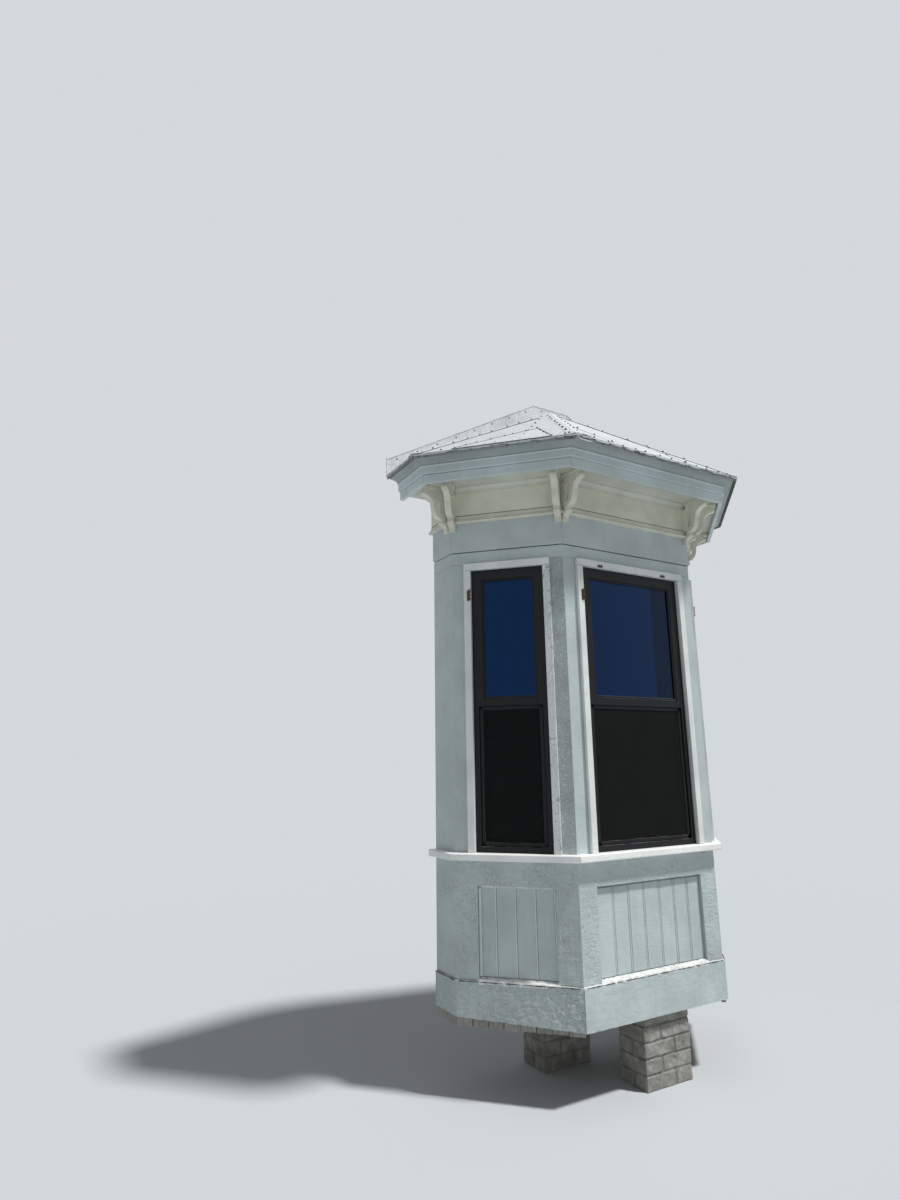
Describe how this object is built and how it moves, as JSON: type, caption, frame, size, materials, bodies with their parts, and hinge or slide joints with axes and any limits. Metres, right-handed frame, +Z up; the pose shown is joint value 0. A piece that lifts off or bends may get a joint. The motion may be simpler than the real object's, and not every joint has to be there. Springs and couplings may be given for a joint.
{
  "type": "bay window",
  "caption": "Three-sided bay window on piers, with a panelled knee wall, scroll brackets, moulded eaves and a hipped metal roof.",
  "frame": {"origin": "on the ground, at the middle of the plan's bounding box; the plane of the house wall is 0.52 m towards +Y", "axes": "+Z up, +Y into the house, +X along the house wall to the right as seen from outside"},
  "size_m": [2.66, 1.04, 4.249],
  "materials": {
    "brick": "old brick, lime washed and worn",
    "timber": "bare weathered softwood",
    "blue_paint": "pale blue-grey house paint, brushed, cracked",
    "cream_paint": "off-white house paint, worn",
    "black_frame": "satin black coating",
    "glass": "clear window glass",
    "roof_metal": "galvanised sheet, chalky and stained"
  },
  "bodies": {
    "root": {"front_pier": "brick", "rear_pier": "brick", "floor_frame": "timber", "floor_boards": "timber", "left_return_wall": "blue_paint", "left_cant_wall": "blue_paint", "front_wall": "blue_paint", "right_cant_wall": "blue_paint", "right_return_wall": "blue_paint", "skirt": "blue_paint", "left_panel": "blue_paint", "front_panel": "blue_paint", "right_panel": "blue_paint", "sill_course": "cream_paint", "left_casing": "cream_paint", "front_casing": "cream_paint", "right_casing": "cream_paint", "left_window_frame": "black_frame", "front_window_frame": "black_frame", "right_window_frame": "black_frame", "left_lower_sash": "black_frame", "front_lower_sash": "black_frame", "right_lower_sash": "black_frame", "left_upper_glass": "glass", "front_upper_glass": "glass", "right_upper_glass": "glass", "left_lower_glass": "glass", "front_lower_glass": "glass", "right_lower_glass": "glass", "head_boards": "blue_paint", "frieze_boards": "cream_paint", "frieze_moulding": "cream_paint", "soffit": "cream_paint", "cornice": "blue_paint", "left_wall_bracket": "cream_paint", "left_front_bracket": "cream_paint", "right_front_bracket": "cream_paint", "right_wall_bracket": "cream_paint", "ceiling": "cream_paint", "wall_header": "timber", "roof_boards": "timber", "roof_metal": "roof_metal", "hip_caps": "roof_metal", "roof_patch": "roof_metal", "wall_flashing": "roof_metal"}
  },
  "joints": []
}
